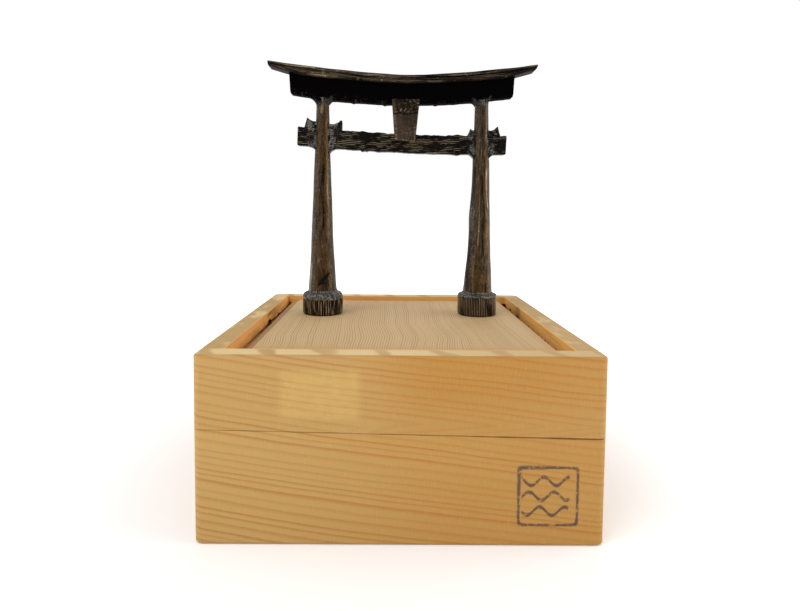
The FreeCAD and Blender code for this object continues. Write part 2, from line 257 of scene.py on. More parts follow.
class Nodes:
    """The node tree of one material or world."""

    def __init__(self, owner):
        owner.use_nodes = True
        self.owner = owner
        self.tree = owner.node_tree
        self.tree.nodes.clear()

    def add(self, kind, settings=None, sockets=None, output=0):
        """A node of a type: its settings first, then the values or wires of its sockets."""
        node = self.tree.nodes.new(kind)
        for key, value in (settings or {}).items():
            setattr(node, key, value)
        for key, value in (sockets or {}).items():
            if isinstance(value, Wire):
                self.tree.links.new(value.socket, node.inputs[key])
            else:
                node.inputs[key].default_value = value
        return Wire(self, node.outputs[output]) if node.outputs else None

    def split(self, vector):
        """The three parts of a vector."""
        return [self.add("ShaderNodeSeparateXYZ", sockets={0: vector}, output=axis) for axis in "XYZ"]

    def millimetres(self):
        """Object coordinates in millimetres."""
        place = self.add("ShaderNodeTexCoord", output="Object")
        return self.add("ShaderNodeVectorMath", {"operation": "SCALE"}, {0: place, "Scale": 1 / MM})

    def vector(self, x, y, z):
        return self.add("ShaderNodeCombineXYZ", sockets={"X": x, "Y": y, "Z": z})

    def noise(self, place, scale, detail=2.0, roughness=0.5):
        """Smooth noise from 0 to 1, with its middle near a half."""
        return self.add("ShaderNodeTexNoise", {"noise_dimensions": "3D"},
                        {"Vector": place, "Scale": scale, "Detail": detail, "Roughness": roughness})

    def grain(self, x, y, z, detail=2.0, roughness=0.5):
        """Noise at a place whose three parts are already divided by the size of a patch."""
        return self.noise(self.vector(x, y, z), 1.0, detail, roughness)

    def mix(self, amount, first, second):
        """Colour that goes from first to second."""
        return self.add("ShaderNodeMix", {"data_type": "RGBA"}, {0: amount, 6: first, 7: second}, output=2)

    def layers(self, tone, *layers):
        """Colour with layers over it in turn: each is an amount and a colour."""
        for amount, colour_over in layers:
            tone = self.mix(amount, tone, colour_over)
        return tone

    def attribute(self, name):
        return self.add("ShaderNodeAttribute", {"attribute_name": name}, output="Fac")

    def surface(self, tone, roughness, specular, height=None, depth=0.1, strength=0.6, more=None):
        """The owner, with a surface of this tone; height is a bump, and depth its size in millimetres."""
        sockets = {"Base Color": tone, "Roughness": roughness, "Specular IOR Level": specular}
        sockets.update(more or {})
        if height is not None:
            sockets["Normal"] = self.add("ShaderNodeBump", sockets={"Height": height, "Distance": depth * MM,
                                                                    "Strength": strength})
        shader = self.add("ShaderNodeBsdfPrincipled", sockets=sockets)
        self.add("ShaderNodeOutputMaterial", sockets={"Surface": shader})
        return self.owner


def material_nodes(name):
    """Nodes of a new material, and the three parts of a place in millimetres."""
    nodes = Nodes(bpy.data.materials.new(name))
    return nodes, *nodes.split(nodes.millimetres())


# ---------------------------------------------------------------- wood
def growth_lines(nodes, phase, start=0.5):
    """Late wood of a growth ring: it darkens from start of the ring and ends sharply; rings differ."""
    part = phase.fraction()
    ring = phase.floor()
    strength = nodes.grain(ring * 7.31, 0.5, 0.5, 0.0).rise(0.28, 0.7) * 0.6 + 0.4
    return part.rise(start, 0.86) * (1 - part.rise(0.88, 1.0)) * strength


def seam_shadow(nodes, x, y, z):
    """Thin dark line where lid and box meet, wider towards +X and a little uneven."""
    seam = SEAM_MIDDLE / MM - x * SEAM_FALL
    uneven = nodes.grain(x * 0.12, y * 0.12, 3.0, 2.0)
    reach = uneven.rise(0.3, 0.75) * 0.1 + (x + y * 0.3).rise(-30, 45) * 0.1 + 0.08
    distance = abs(z - seam)
    outside = abs(x).high(abs(y)).rise(HALF_WIDTH / MM - 0.8, HALF_WIDTH / MM - 0.2)
    return (1 - (distance / reach).rise(0.5, 1.7)) * outside


def ink_mark(nodes, x, z, looks):
    """Worn square frame with three waves inside: distances to a rounded square and to sine lines."""
    across = x - looks.mark_x / MM
    up = z - looks.mark_z / MM
    half = looks.mark_half / MM
    worn = nodes.noise(nodes.vector(x, 0.0, z), 0.4, 3.0, 0.6)
    corner = ((abs(across) / half) ** 16.0 + (abs(up) / half) ** 16.0) ** (1 / 16)
    heavy = (across * -1.0 + up).rise(2.0, 16.0) * 0.35
    frame_line = 1 - (abs(corner - 1.0) * half).rise(0.18, worn * 0.9 + heavy + 0.15)
    waves = None
    for level in (-4.4, 0.1, 4.5):
        wave = abs(up - level - (across * 0.86 + level * 0.6).sine() * 1.25)
        line = 1 - wave.rise(0.3, worn * 0.9 + 0.35)
        waves = line if waves is None else waves.high(line)
    inside = 1 - abs(across + worn * 1.5).rise(6.6, 7.2)
    gone = nodes.noise(nodes.vector(x, 4.0, z), 0.7, 4.0, 0.7).rise(0.34, 0.5)
    return frame_line.high(waves * inside) * (gone * 0.85 + 0.15)


def spot(x, y, middle_x, middle_y, half_x, half_y):
    """1 at a place on a face, falling to 0 at the edge of an ellipse round it."""
    across = (x - middle_x) / half_x
    up = (y - middle_y) / half_y
    return 1 - (across * across + up * up).rise(0.35, 1.1)


def inner_face(nodes, x, y, z, looks):
    """Inner faces above the board: long grain, with holes and a crack painted dark as shade, and soft
    shadows painted at chosen places.
    """
    grain = nodes.grain(x * 0.05, y * 0.05 + 2.0, z * 1.1 + y * 0.02, 3.0)
    rough = nodes.grain(x * 0.5, y * 0.5, z * 0.9, 3.0, 0.65)
    right = x.rise(0.0, 1.0)
    shade = spot(y, z, 23.5, 53.6, 5.0, 3.4) * right * 0.6
    shade = shade.high(spot(y, z, 10.0, 54.0, 4.6, 2.4) * (1 - right) * 0.7)
    hole = spot(y, z, 23.5, 51.5, 3.4, 1.1)
    for place in ((39.0, 52.2, 1.8, 0.7), (51.5, 51.4, 3.0, 1.6), (-19.5, 51.2, 1.8, 0.5)):
        hole = hole.high(spot(y, z, *place))
    hole = (hole * right).high(spot(y, z, 51.0, 51.6, 3.4, 1.5))
    # Painted shade: a dark crack along the board's edge on the right wall.
    crack = (rough + y.rise(-40.0, 20.0) * 0.1).rise(0.57, 0.66)
    crack = crack * (1 - abs(z - 51.2).rise(0.35, 0.9)) * right
    # Painted shade: the holes, with ragged rims, go dark, and so does the crack.
    worn = ((hole - 0.35 + rough * 0.7) * 1.3).rise(0.45, 0.75)
    return nodes.layers(looks.inside, (right, looks.inside_right), (grain.rise(0.46, 0.7) * 0.3, looks.late),
                        (shade, looks.brown), (worn.high(crack * 0.8), looks.dark))


def wall_wood(name, along_x, lid, marked, looks):
    """Pine of a wall: growth lines that fall along it, a sawn rim, inner faces painted lighter as painted
    light, a dark seam of painted shadow and dirt, and painted shade along the foot.
    """
    nodes, x, y, z = material_nodes(name)
    along, depth = (x, y) if along_x else (y * -1.0, x)
    inner = (INNER_Y if along_x else INNER_X) / MM
    wander = nodes.grain(along * 0.014, depth * 0.02, z * 0.02 + (5.0 if lid else 2.0), 1.0)
    ripple = nodes.grain(along * 0.035, depth * 0.05, z * 0.2, 2.0)
    start, stop = (0.125, 0.07) if lid else (0.13, 0.08)
    fall = along * start - along * along * ((start - stop) / 240)
    level = z + fall + (wander - 0.5) * 4.0 + (ripple - 0.5) * 0.9
    if lid:
        crest = SEAM_MIDDLE / MM - 3.0 + x.rise(-38.0, 0.0) * 6.2 - x * SEAM_FALL
        over = z - crest - (wander - 0.5) * 1.5
        fold = (over * over + 0.12) ** 0.5
        level = level - over + fold
    uneven = nodes.grain(level * 0.11, 0.3, 7.0 if lid else 1.0, 1.0)
    phase = level / (looks.ring_spacing / MM) + uneven * 2.4 + 40.0
    late = growth_lines(nodes, phase, 0.4)
    if lid:
        late = late * (over.rise(-0.5, 2.5) * 0.5 + 0.5)
    fibre = nodes.grain(along * 0.11, depth * 1.6, z * 3.2 + along * start * 3.2, 3.0, 0.65)
    ray = nodes.grain(along * 2.6, depth * 2.6, z * 0.35, 2.0)
    cloud = nodes.grain(along * 0.03, depth * 0.05, z * 0.07 + 9.0, 2.0)
    warm = along.rise(-18.0, 12.0) * (1 - along.rise(28.0, 58.0) * 0.3)
    warm = warm * (z.rise(36.0, 48.0) * 0.4 + 0.6) if lid else along.rise(-45.0, 30.0) * 0.7
    warm = warm * (cloud * 0.8 + 0.6)
    line = nodes.mix(warm * 0.75, looks.late, looks.amber)
    fleck = nodes.grain(along * 0.45, depth, z * 1.6, 1.0).rise(0.77, 0.82)
    outer = nodes.layers(looks.pale, (warm * 0.75, looks.orange), (0.08 if lid else 0.0, looks.brown),
                         (late * 0.72, line), (fibre.rise(0.5, 0.9) * 0.16, line),
                         (ray.rise(0.45, 0.8) * 0.1, looks.rim), (fleck * 0.5, looks.brown))
    if lid and marked:
        ghost = x.band(-34.5, -12.0, 1.6) * z.band(37.6, 51.6, 1.2)
        faded = nodes.grain(x * 0.2, 1.0, z * 0.3, 3.0).rise(0.15, 0.7) * 0.6 + 0.4
        scratch = nodes.grain(x * 0.35, 1.0, z * 2.6 + x * 0.25, 1.0).rise(0.66, 0.74)
        scratch = scratch * x.band(-40.0, -14.0, 3.0) * z.band(37.5, 50.0, 3.0)
        outer = nodes.layers(outer, (ghost * faded * 0.45, looks.square), (scratch * 0.5, looks.rim))
    if marked and not lid:
        outer = nodes.mix(ink_mark(nodes, x, z, looks) * 0.86, outer, looks.ink)
    patch = nodes.grain(along * 0.055, depth * 0.03, 4.0, 2.0, 0.6)
    if along_x:
        patch = (along / 16.8 + depth * 0.025 + patch - 0.5).fraction().band(0.12, 0.4, 0.08)
        rim_tone = nodes.layers(looks.rim, (patch * (cloud * 0.8 + 0.4), looks.rim_patch),
                                (x.rise(-5.0, 45.0) * 0.5, looks.rim_patch))
    else:
        pale = nodes.grain(along * 0.075, depth * 0.12, 8.0).rise(0.5, 0.68)
        rim_tone = nodes.layers(looks.rim_grey, (patch.rise(0.42, 0.6), looks.rim_patch),
                                (pale * 0.8, looks.rim))
    rim_tone = nodes.mix(fibre.rise(0.45, 0.9) * 0.18, rim_tone, looks.late)
    top = RIM / MM
    is_inner = 1 - abs(depth).rise(inner + 0.02, z.rise(top - 0.3, top - 0.1) * 1.1 + (inner + 0.1))
    # Painted light: the inner faces take the inner-face colours, which are painted lighter than the wood.
    tone = nodes.mix(is_inner, outer, inner_face(nodes, x, y, z, looks) if lid else looks.inside)
    if lid:
        worn_off = (ripple - 0.5) * 0.8
        outermost = (abs(depth) + worn_off).rise(HALF_WIDTH / MM - 1.1, HALF_WIDTH / MM - 0.5)
        innermost = 1 - (abs(depth) + worn_off).rise(inner + 0.1, inner + 1.1)
        sawn = z.rise(top - 0.12, top - 0.04) * (1 - outermost) * (1 - innermost * 0.75)
        tone = nodes.mix(sawn, tone, rim_tone)
    seam = seam_shadow(nodes, x, y, z)
    # Painted shade: the walls darken towards the floor along their foot.
    foot = 1 - (z + fibre * 0.8).rise(0.2, 1.4)
    tone = nodes.layers(tone, (seam * ((x + y * 0.3).rise(-40, 40) * 0.3 + 0.6), looks.seam),
                        (foot * 0.3, looks.dark))
    return nodes.surface(tone, fibre * 0.2 + 0.52, 0.3, late * 0.35 + fibre * 0.5 - seam * 0.3, 0.12)


def board_wood(looks):
    """Board: fine growth lines from front to back that wander, painted warm shade along the front and right,
    and a brown left edge that is partly painted shade.
    """
    nodes, x, y, z = material_nodes("board_pine")
    sway = nodes.grain(x * 0.012, y * 0.016, 1.0, 1.0)
    ripple = nodes.grain(x * 0.05, y * 0.06, 2.0, 2.0)
    across = x + (sway - 0.5) * 13.0 + (ripple - 0.5) * 1.5
    late = growth_lines(nodes, across / (looks.board_spacing / MM) + 90.0, 0.3)
    fibre = nodes.grain(x * 4.0, y * 0.12, z, 3.0, 0.65)
    cloud = nodes.grain(x * 0.04, y * 0.03, 5.0, 2.0)
    near = y + (ripple - 0.5) * 3.0 + INNER_Y / MM
    # Painted shade: a warm, darker strip along the board's front and right edges.
    front = (1 - near.rise(0.0, 22.0)) * 0.3 + (1 - near.rise(8.5, 13.0)) * 0.25
    front = front.high(x.rise(46.0, 48.5) * 0.5)
    # Painted shade in part: the rounded left edge turns brown.
    side = 1 - (x + y * 0.006 + (ripple - 0.5) * 0.3).rise(-46.7, -46.3)
    crack_shade_spots = nodes.grain(x * 0.5, y * 0.4, z, 3.0, 0.7).rise(0.52, 0.62)
    top = BOARD_TOP / MM
    # Painted shade: dark spots in the crack along the board's right edge.
    edge = (1 - z.rise(top - 0.9, top - 0.3)) * x.rise(40.0, 42.0)
    tone = nodes.layers(
        looks.board,
        (late, looks.board_line),
        (fibre.rise(0.45, 0.85) * 0.25, looks.board_line),
        (cloud.rise(0.4, 0.75) * 0.2, looks.board_pink),
        (front, looks.board_pink),
        (side * 0.85, looks.brown),
        (edge * crack_shade_spots, looks.dark))
    return nodes.surface(tone, fibre * 0.2 + 0.55, 0.25, late * 0.5 + fibre * 0.5)


def plain_pine(name, looks):
    """Pine of the floor and of the strips inside, with growth lines across the width."""
    nodes, x, y, z = material_nodes(name)
    wander = nodes.grain(x * 0.02, y * 0.05, z * 0.05, 1.0)
    late = growth_lines(nodes, (y + z * 0.6 + (wander - 0.5) * 12.0) / 3.1 + 60.0)
    fibre = nodes.grain(x * 0.12, y * 3.0, z * 3.0, 3.0, 0.65)
    tone = nodes.layers(looks.pale, (late * 0.6, looks.late), (fibre.rise(0.45, 0.85) * 0.2, looks.inside))
    return nodes.surface(tone, fibre * 0.2 + 0.55, 0.25, late * 0.4 + fibre * 0.5, strength=0.5)


def torn_wood(looks):
    """Ledge and torn fibres: warm where torn, brown on the ledge, painted dark shade in the crevice."""
    nodes, x, y, z = material_nodes("torn_wood")
    grain = nodes.grain(x * 0.05, y * 0.05 + 2.0, z * 1.1 + y * 0.02, 3.0)
    fibre = nodes.grain(x * 2.0, y * 0.2, z * 2.0, 3.0, 0.65)
    ledge = nodes.mix(fibre.rise(0.3, 0.75) * 0.6, looks.rim_patch, looks.brown)
    fresh = nodes.mix(grain.rise(0.46, 0.7) * 0.45, looks.inside, looks.late)
    tone = nodes.layers(ledge, (nodes.attribute("torn"), fresh), (nodes.attribute("crevice"), looks.dark))
    return nodes.surface(tone, 0.7, 0.2, fibre, 0.15)


# ---------------------------------------------------------------- bronze
def bronze(name, body, second, looks, drawn=(1.0, 1.0, 1.0), metallic=0.7, roughness=0.42, rubbed=0.8,
           speck=0.5, patchy=1.0):
    """Patinated bronze: furrows black, high places rubbed, mottled grey solder where the piece says so.

    The attribute tone runs from -1 in furrows to 1 on ridges; solder is 0 or more.
    drawn scales the mottling along X, Y and Z: a small share stretches it that way; patchy is its strength.
    """
    nodes = Nodes(bpy.data.materials.new(name))
    place = nodes.millimetres()
    pulled = nodes.vector(*[part * scale for part, scale in zip(nodes.split(place), drawn)])
    cloud = nodes.noise(pulled, 0.25, 3.0, 0.6)
    mottle = nodes.noise(pulled, 0.8, 4.0, 0.65)
    strand = nodes.noise(pulled, 2.1, 4.0, 0.7)
    grain = nodes.noise(place, 2.4, 4.0, 0.75)
    blotch = nodes.noise(place, 1.2, 5.0, 0.75)
    tone = nodes.attribute("tone")
    solder = nodes.attribute("solder")
    low = (tone * -1.0 + (grain - 0.5) * 0.5).rise(0.0, 0.75)
    high = (tone + (grain - 0.5) * 1.1).rise(0.25, 1.0) * rubbed
    grey = (solder + (blotch - 0.5) * 1.2).rise(0.3, 0.75) * (1 - low * 0.6)
    ash = nodes.mix((grain * 0.6 + blotch * 0.4).rise(0.42, 0.62), looks.iron, looks.solder)
    # Painted highlight in part: small bright specks, most of them on solder.
    spots = nodes.noise(place, 1.7, 1.0).rise(0.7, 0.76) * speck * (solder * 0.8 + 0.35).low(1.0)
    base = nodes.layers(
        body,
        ((cloud.rise(0.35, 0.65) + solder * 1.6).low(1.0), second),
        (mottle.rise(0.5, 0.68) * (0.6 * patchy), looks.dark),
        (strand.rise(0.52, 0.64) * (0.6 * patchy), looks.dark),
        ((1 - strand).rise(0.56, 0.68) * (rubbed * 0.4 * patchy), looks.rubbed),
        (low * 0.94, looks.dark),
        (high, looks.rubbed),
        (grey * 0.8, ash),
        (spots, looks.spark))
    return nodes.surface(base, (mottle - 0.5) * 0.5 + roughness + low * 0.3, 0.2,
                         grain * 0.35 + mottle * 0.4 + strand * 0.5 + spots * 0.6, 0.14, 0.8,
                         {"Metallic": metallic - grey * 0.2})


def soot(name, looks):
    """Black matt patina with brown specks where the tone is high, and grey solder."""
    nodes = Nodes(bpy.data.materials.new(name))
    grain = nodes.noise(nodes.millimetres(), 3.6, 4.0, 0.75)
    worn = (nodes.attribute("tone") + (grain - 0.5) * 1.6).rise(0.25, 1.0)
    grey = (nodes.attribute("solder") + (grain - 0.5) * 1.4).rise(0.25, 0.7)
    base = nodes.layers(looks.soot, (worn * 0.7, looks.cap), (grey * 0.6, looks.solder))
    return nodes.surface(base, 0.85, 0.015, grain, 0.12, 0.7)


# ---------------------------------------------------------------- shapes
# Rings along the long pieces, and points round the turned ones.
BEAM_RINGS = 330
PILLAR_RINGS = 380
PILLAR_POINTS = 132
COLLAR_POINTS = 540
QUARTER = math.pi / 2


def show(name, data):
    """New object in the scene."""
    piece = bpy.data.objects.new(name, data)
    bpy.context.scene.collection.objects.link(piece)
    return piece


def ripples(seed, *places, waves=14):
    """Smooth noise: the sum of sine waves with random directions and starts, over the root of their number.

    places are arrays already divided by the size of a patch; most values lie between -1 and 1.
    """
    rng = np.random.default_rng(seed)
    total = 0.0
    for _ in range(waves):
        direction = rng.normal(0.0, 1.8, len(places))
        start = rng.uniform(0.0, 2 * math.pi)
        total = total + np.sin(sum(step * place for step, place in zip(direction, places)) + start)
    return total / math.sqrt(waves)


def smooth(value, start, stop):
    """0 below start, 1 above stop, with a cubic between them."""
    part = np.clip((value - start) / (stop - start), 0.0, 1.0)
    return part * part * (3 - 2 * part)


def hump(value, middle, width):
    """Bell curve exp(-((value - middle) / width)^2)."""
    return np.exp(-((value - middle) / width) ** 2)


def swells(places, rows):
    """Sum of bell curves over places in metres; each row is middle, width and height in millimetres."""
    return sum(height * MM * hump(places, middle * MM, width * MM) for middle, width, height in rows)


def skin(name, rings, attributes, material, replaced, body="gate"):
    """Closed piece through rings: rings[i, j] is point j of ring i.

    Every ring closes on itself, and each end closes on a middle point. Faces are turned outwards where
    the sum of the signed volumes under them is negative.
    """
    count, around = rings.shape[:2]
    middles = rings[[0, -1]].mean(axis=1)
    points = np.concatenate([rings.reshape(-1, 3), middles])
    row = np.arange(count - 1)[:, None] * around
    here = np.arange(around)
    beside = (here + 1) % around
    quads = np.stack([row + here, row + beside, row + around + beside, row + around + here], axis=-1)
    quads = quads.reshape(-1, 4)
    first = np.full(around, count * around)
    last = (count - 1) * around
    fans = np.concatenate([np.stack([first, beside, here], axis=-1),
                           np.stack([first + 1, last + here, last + beside], axis=-1)])
    corners = points[quads]
    volume = np.einsum("ij,ij->i", corners[:, 0], np.cross(corners[:, 1], corners[:, 2])).sum()
    volume += np.einsum("ij,ij->i", corners[:, 0], np.cross(corners[:, 2], corners[:, 3])).sum()
    if volume < 0:
        quads = quads[:, ::-1]
        fans = fans[:, ::-1]
    mesh = bpy.data.meshes.new(name)
    mesh.from_pydata(points.tolist(), [], quads.tolist() + fans.tolist())
    for key, values in attributes.items():
        values = np.broadcast_to(values, (count, around))
        ends = values[[0, -1]].mean(axis=1)
        layer = mesh.attributes.new(key, "FLOAT", "POINT")
        layer.data.foreach_set("value", np.concatenate([values.ravel(), ends]).astype(np.float32))
    mesh.shade_smooth()
    mesh.materials.append(material)
    piece = show(name, mesh)
    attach(piece, body)
    if replaced:
        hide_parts(replaced)
    return mesh


def triangles(node):
    """Corners of a CAD node's triangles, and their unit normals."""
    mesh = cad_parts[node].data
    places = np.empty(len(mesh.vertices) * 3, np.float32)
    mesh.vertices.foreach_get("co", places)
    corners = np.empty(len(mesh.loops), np.int32)
    mesh.loops.foreach_get("vertex_index", corners)
    faces = places.reshape(-1, 3).astype(float)[corners].reshape(-1, 3, 3)
    normals = np.cross(faces[:, 1] - faces[:, 0], faces[:, 2] - faces[:, 0])
    lengths = np.linalg.norm(normals, axis=1)
    kept = lengths > 0
    return faces[kept], normals[kept] / lengths[kept, None]


def edge_line(node, side, along=0, across=2, steep=0.9):
    """A CAD piece's edge: (places along, heights across), side 1 or -1, steep the least normal.

    Triangles that lie wholly near the front or the back are grooves and are left out.
    """
    faces, normals = triangles(node)
    low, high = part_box(node)
    away = np.abs(faces[:, :, 1].mean(axis=1) - (low.y + high.y) / 2) / (high.y - low.y)
    points = faces[(normals[:, across] * side > steep) & (away < 0.38)].reshape(-1, 3)
    places, groups = np.unique(np.round(points[:, along], 5), return_inverse=True)
    heights = np.full(len(places), -1.0)
    np.maximum.at(heights, groups.ravel(), points[:, across] * side)
    return places, heights * side


def both_edges(node):
    """A CAD beam's upper and lower edge lines."""
    return edge_line(node, 1), edge_line(node, -1)


def stations(start, stop, count, roll, steps=6):
    """Shares along a bar and how far its section shrinks there.

    The last stretch at both ends, of length roll, follows a quarter circle.
    """
    angle = np.linspace(0.0, QUARTER, steps, endpoint=False)
    near = roll * (1 - np.cos(angle))
    shrink = roll * (1 - np.sin(angle))
    middle = np.linspace(start + roll, stop - roll, count)
    places = np.concatenate([start + near, middle, (stop - near)[::-1]])
    inset = np.concatenate([shrink, np.zeros(count), shrink[::-1]])
    return (places - start) / (stop - start), inset


def along_line(line, part):
    """Places at shares along a line, from its first place to its last."""
    return line[0][0] + (line[0][-1] - line[0][0]) * part


def rounded_outline(side, end, corner):
    """Template of a rounded rectangle: where on the inner rectangle (-1 to 1), and which way is out.

    The four straight sides go round in turn; each corner is a quarter circle between two of them.
    Front first, upwards, then top, back and bottom. Two more values for each point: its height from
    0 to 1, and flat, which is 1 on the front and the back and 0 on the top and the bottom.
    """
    at, out = [], []
    for turn in range(4):
        angle_out = math.pi - turn * QUARTER
        normal = np.array([math.cos(angle_out), math.sin(angle_out)])
        onwards = np.array([normal[1], -normal[0]])
        walk = np.linspace(-1.0, 1.0, side if turn % 2 == 0 else end)[:, None]
        bend = angle_out - QUARTER * np.arange(1, corner + 1) / (corner + 1)
        at += [normal + onwards * walk, np.broadcast_to(normal + onwards, (corner, 2))]
        out += [np.broadcast_to(normal, (len(walk), 2)), np.stack([np.cos(bend), np.sin(bend)], axis=-1)]
    at = np.round(np.concatenate(at), 9)
    out = np.concatenate(out)
    return (at, out), (1 + at[:, 1]) / 2, out[:, 0] ** 2


def bar_rings(node, low, high, radii, inset, outline, relief):
    """Rings of a bar with a rounded rectangular section, as deep as its CAD node.

    low and high are (places, heights) of its lower and upper edges at each station; a section stands on
    the line between them. Each point is the inner rectangle's point, plus out times (radius + relief).
    radii are the radius at the lower and at the upper edge.
    """
    front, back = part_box(node)[0].y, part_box(node)[1].y
    at, out = outline
    upper = (1 + at[:, 1]) / 2
    radius = radii[0] + (radii[1] - radii[0]) * upper
    shrink = inset[:, None]
    low_z = low[1][:, None] + shrink + radius
    high_z = high[1][:, None] - shrink - radius
    height = low_z + (high_z - low_z) * upper + (radius + relief) * out[:, 1]
    half = (back - front) / 2 - shrink - radius
    depth = (front + back) / 2 + at[:, 0] * half + (radius + relief) * out[:, 0]
    part = (height - low[1][:, None]) / (high[1] - low[1])[:, None]
    place = low[0][:, None] + (high[0] - low[0])[:, None] * part
    return np.stack([place, depth, height], axis=-1)


# ---------------------------------------------------------------- pieces
# For each collar: height of the shoulder, seed of its noise, how loosely its ribs wander, share of the
# second set of ribs, and how much darker than a rib a furrow starts.
COLLARS = {"left": (2.4 * MM, 11, 1.0, 0.85, 1.2), "right": (1.1 * MM, 23, 0.35, 0.3, 0.95)}


def make_collar(side, looks, material):
    """Ribbed collar: a radius over height, turned round the pillar, less the furrows.

    Side: straight; shoulder: quarter ellipse; above it a short hollow curve climbs to the pillar.
    Furrows: the larger of two sets of narrow waves in the angle, each swayed by noise, fading at the
    shoulder.
    """
    node = side + "_collar"
    shoulder, seed, loose, second_share, furrow = COLLARS[side]
    ribs = getattr(looks, side + "_ribs")
    low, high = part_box(node)
    outer = (high.x - low.x) / 2
    ring = pillar_line(side + "_pillar")[1][0] + looks.fillet
    foot = 1.0 * MM
    arc = np.linspace(0.0, QUARTER, 9)
    foot_r = outer - foot + foot * np.sin(arc)
    foot_z = low.z + foot * (1 - np.cos(arc))
    wall_z = np.linspace(low.z + foot, high.z - shoulder, 42)[1:-1]
    arc = np.linspace(0.0, QUARTER, 18)
    top_r = ring + (outer - ring) * np.cos(arc)
    top_z = high.z - shoulder * (1 - np.sin(arc))
    climb = np.linspace(0.0, QUARTER, 8)[1:]
    climb_r = ring - looks.fillet * np.sin(climb) - 0.2 * MM * (climb / QUARTER) ** 8
    climb_z = high.z + looks.fillet * (1 - np.cos(climb))
    wall_r = np.full(len(wall_z), outer)
    radius = np.concatenate([[outer - 2 * foot], foot_r, wall_r, top_r, climb_r])[:, None]
    height = np.concatenate([[low.z], foot_z, wall_z, top_z, climb_z])[:, None]
    turn = np.linspace(0.0, 2 * math.pi, COLLAR_POINTS, endpoint=False)[None, :]
    up = (height - low.z) / (high.z - low.z)

    def rough(step, fine, tall):
        """Noise round the collar: fine patches in the angle, tall ones in the height."""
        return ripples(seed + step, np.cos(turn) * 3.2 * fine, np.sin(turn) * 3.2 * fine, up * tall)

    sway = loose * rough(0, 1.0, 1.1) * 1.5 + loose * rough(1, 2.5, 2.2) * 0.9
    first = 0.5 + 0.5 * np.cos(turn * ribs + sway)
    second = 0.5 + 0.5 * np.cos(turn * round(ribs * 0.79) - sway * 1.4 + 1.0)
    rib = np.maximum(first ** 1.4, second_share * second ** 1.4)
    rib = np.clip(rib * (0.85 + 0.2 * rough(2, 3.0, 2.0)), 0, 1)
    edge = smooth(height, high.z - shoulder - 0.9 * MM, high.z - shoulder + 0.35 * MM)
    edge = np.clip(edge + 0.25 * rough(3, 5.0, 0.0) * edge * (1 - edge) * 4, 0, 1)
    ribbed = (1 - edge) * smooth(height, low.z - 0.2 * MM, low.z + 0.6 * MM)
    swell = rough(4, 1.7, 3.0)
    pits = rough(5, 6.0, 9.0)
    radius = radius - looks.rib_depth * (1 - rib) * ribbed + edge * (swell * 0.1 + pits * 0.07) * MM
    rings = np.stack([PILLARS[side] + radius * np.cos(turn), GATE_Y + radius * np.sin(turn),
                      height + 0 * turn], axis=-1)
    # Painted highlight: a light line with glints along the crown of the shoulder.
    crown = hump(height, high.z - shoulder + 0.15 * MM, 0.35 * MM)
    tone = ribbed * (2.5 * rib ** 1.2 - furrow) + edge * (0.55 * pits - 0.05)
    glint = ripples(seed + 6, np.cos(turn) * 3.2 * 7.0, np.sin(turn) * 3.2 * 7.0)
    tone = tone + crown * (0.6 + 0.6 * glint)
    skin(side + "_collar_ribbed", rings, {"tone": tone, "solder": edge * (0.75 + 0.25 * swell)}, material,
         node)


def pillar_line(node, lean=0.0):
    """A CAD pillar's heights and its radii there; lean is how far its axis moves towards +X per metre.

    Only triangles that face outwards count, and a pillar never widens upwards.
    """
    faces, normals = triangles(node)
    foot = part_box(node)[0].z
    axis = PILLARS[node.split("_")[0]] + lean * (faces[:, :, 2] - foot)
    away = np.stack([faces[:, :, 0] - axis, faces[:, :, 1] - GATE_Y], axis=-1)
    outwards = away.mean(axis=1)
    outwards = outwards / np.linalg.norm(outwards, axis=1)[:, None]
    lateral = np.einsum("ij,ij->i", normals[:, :2], outwards) > 0.97
    heights = faces[lateral][:, :, 2].ravel()
    radii = np.linalg.norm(away[lateral], axis=-1).ravel()
    order = np.argsort(heights)
    radii = np.maximum.accumulate(radii[order][::-1])[::-1]
    return heights[order], radii


# Streaks on a pillar: angle from the front towards +X at the foot and at the top, width, both in
# degrees, where along the height they start and stop, and their tone.
# Light streaks stand partly for highlight lines, and the one at the top for the highlight there: painted
# highlights.
STREAKS = {
    "left": [(14, 4, 16, 0.36, 0.77, -0.5), (18, 6, 7, 0.40, 0.74, -0.45), (-34, -14, 7, 0.385, 0.43, -0.6),
             (-177.5, 872.5, 16, 0.14, 0.196, -0.7), (10, 10, 24, 0.14, 0.36, -0.3),
             (-52, -50, 7, 0.03, 0.24, 1.0), (48, 46, 8, 0.5, 0.78, 0.5), (-26, -24, 6, 0.5, 0.9, 0.4),
             (0, -4, 10, 0.93, 1.0, 1.2), (150, 135, 14, 0.2, 0.7, -0.9), (-160, -150, 8, 0.3, 0.9, 0.5),
             (110, 120, 9, 0.1, 0.6, 0.4), (-110, -120, 12, 0.35, 0.95, -0.7)],
    "right": [(-14, -11, 3.5, 0.32, 0.62, 0.9), (14, 12, 8, 0.2, 0.62, -0.6), (18, 18, 7, 0.655, 0.69, -1.1),
              (6, 8, 5, 0.63, 0.65, -0.9), (40, 40, 8, 0.50, 0.68, 0.8), (-6, -4, 6, 0.66, 0.95, 0.5),
              (-30, -28, 5, 0.05, 0.3, 0.5), (-56, -52, 12, 0.05, 0.7, -0.5), (30, 28, 6, 0.1, 0.3, -0.5),
              (160, 150, 12, 0.15, 0.75, -0.9), (-140, -150, 9, 0.4, 0.95, 0.55),
              (115, 125, 10, 0.3, 0.8, -0.6), (-105, -95, 8, 0.1, 0.5, 0.45)],
}


# For each pillar: seed of its noise, and how grey its left and right sides are; the grey sides are a painted
# reflection of the bright room beside them.
GREY_SIDES = {"left": (41, 0.4, 0.36), "right": (57, 0.38, 0.4)}


